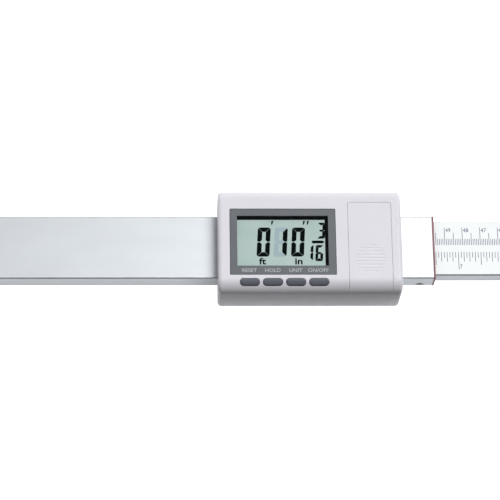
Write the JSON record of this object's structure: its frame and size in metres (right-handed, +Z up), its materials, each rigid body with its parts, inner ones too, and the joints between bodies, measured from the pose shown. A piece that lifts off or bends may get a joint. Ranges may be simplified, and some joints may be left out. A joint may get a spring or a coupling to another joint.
{
  "type": "telescoping digital caliper",
  "caption": "Telescoping digital length gauge: aluminium profile with a display housing, a scaled inner rod that slides out, and a flat jaw at each end.",
  "frame": {"origin": "centre of the display housing's underside, in the plane that the housing and both jaws rest on", "axes": "+X along the rod towards the foot jaw that slides out, -Y towards the side that the jaws reach out from, +Z up out of the display"},
  "size_m": [0.546, 0.1651, 0.0294],
  "materials": {
    "white_plastic": "fine satin moulded ABS",
    "grey_plastic": "satin grey moulded ABS",
    "dark_plastic": "satin dark grey moulded rubber-like plastic",
    "black_plastic": "matt black",
    "clear_lens": "clear polished acrylic",
    "nylon": "natural nylon",
    "red_plastic": "satin dark red",
    "anodised_aluminium": "clear anodised, fine brushed along the rod",
    "zinc_steel": "zinc plated",
    "nickel_spring": "nickel plated spring steel",
    "lcd_glass": "reflective grey-green liquid crystal display",
    "circuit_board": "green solder mask",
    "scale_print": "white printed film",
    "amber_film": "polyimide film with copper",
    "cell_sleeve": "printed sleeve over a metal can",
    "silicone": "soft grey silicone"
  },
  "bodies": {
    "frame": {"outer_profile": "anodised_aluminium", "red_index_ring": "red_plastic", "friction_screw": "zinc_steel", "friction_pad": "nylon", "head_jaw": "white_plastic", "head_jaw_screw_1": "zinc_steel", "head_jaw_screw_2": "zinc_steel", "top_shell": "white_plastic", "bottom_cover": "white_plastic", "housing_screw_1": "zinc_steel", "housing_screw_2": "zinc_steel", "housing_screw_3": "zinc_steel", "housing_screw_4": "zinc_steel", "profile_screw_1": "zinc_steel", "profile_screw_2": "zinc_steel", "bezel_plate": "grey_plastic", "display_lens": "clear_lens", "lcd_frame": "black_plastic", "lcd_panel": "lcd_glass", "zebra_strip_front": "silicone", "zebra_strip_back": "silicone", "main_board": "circuit_board", "board_screw_1": "zinc_steel", "board_screw_2": "zinc_steel", "board_screw_3": "zinc_steel", "board_screw_4": "zinc_steel", "controller_chip": "black_plastic", "sensor_board": "circuit_board", "sensor_holder": "black_plastic", "flex_cable": "amber_film", "switch_reset": "black_plastic", "switch_hold": "black_plastic", "switch_unit": "black_plastic", "switch_power": "black_plastic", "battery_tray": "black_plastic", "battery_1": "cell_sleeve", "battery_2": "cell_sleeve", "battery_spring_1": "nickel_spring", "battery_spring_2": "nickel_spring", "contact_front_1": "nickel_spring", "contact_front_2": "nickel_spring", "contact_bridge": "nickel_spring"},
    "slider": {"inner_rod": "anodised_aluminium", "encoder_strip": "amber_film", "scale_label": "scale_print", "tail_guide": "nylon", "foot_jaw": "white_plastic", "foot_jaw_screw_1": "zinc_steel", "foot_jaw_screw_2": "zinc_steel"},
    "cover": {"battery_cover": "white_plastic"},
    "reset_key": {"button_reset": "dark_plastic"},
    "hold_key": {"button_hold": "dark_plastic"},
    "unit_key": {"button_unit": "dark_plastic"},
    "power_key": {"button_power": "dark_plastic"}
  },
  "joints": [
    {"name": "rod_slide", "type": "slide", "parent": "frame", "child": "slider", "axis": [1, 0, 0], "range_m": [-0.1457, 0.104]},
    {"name": "cover_slide", "type": "slide", "parent": "frame", "child": "cover", "axis": [0, -1, 0], "range_m": [0, 0.03]},
    {"name": "reset_press", "type": "slide", "parent": "frame", "child": "reset_key", "axis": [0, 0, -1], "range_m": [0, 0.0005], "stiffness_N_per_m": 1200},
    {"name": "hold_press", "type": "slide", "parent": "frame", "child": "hold_key", "axis": [0, 0, -1], "range_m": [0, 0.0005], "stiffness_N_per_m": 1200},
    {"name": "unit_press", "type": "slide", "parent": "frame", "child": "unit_key", "axis": [0, 0, -1], "range_m": [0, 0.0005], "stiffness_N_per_m": 1200},
    {"name": "power_press", "type": "slide", "parent": "frame", "child": "power_key", "axis": [0, 0, -1], "range_m": [0, 0.0005], "stiffness_N_per_m": 1200}
  ]
}
